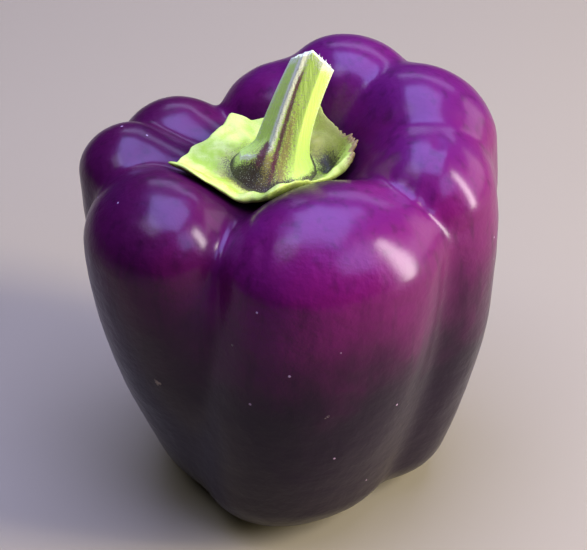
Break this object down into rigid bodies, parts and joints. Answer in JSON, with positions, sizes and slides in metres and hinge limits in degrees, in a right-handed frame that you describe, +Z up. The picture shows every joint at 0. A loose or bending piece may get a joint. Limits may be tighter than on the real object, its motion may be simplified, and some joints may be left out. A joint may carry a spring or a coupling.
{
  "type": "bell pepper",
  "caption": "Whole purple bell pepper with swollen shoulders, a sunken top, a yellow-green calyx and a short ridged stem; it stands upright on the low tips of its lobes.",
  "frame": {"origin": "on the floor, under the middle of the pepper's bounding box", "axes": "+Z up from the tips of the lobes to the stem, -Y towards the viewer of the front, where the largest lobe is, +X to the right"},
  "size_m": [0.0956, 0.0896, 0.1145],
  "materials": {
    "pepper_skin": "smooth waxy skin, deep purple, glossy, paler violet on the lit shoulders, with a few pale flecks and two small corky scars",
    "calyx_green": "soft matt yellow-green leaf tissue, stained dark purple-brown round the stem, with a brown rough edge on the right",
    "stem_green": "fibrous yellow-green stem with raised ribs, purple-brown streaks and a pale cut end"
  },
  "bodies": {
    "root": {"fruit": "pepper_skin", "calyx": "calyx_green", "stem": "stem_green"}
  },
  "joints": []
}
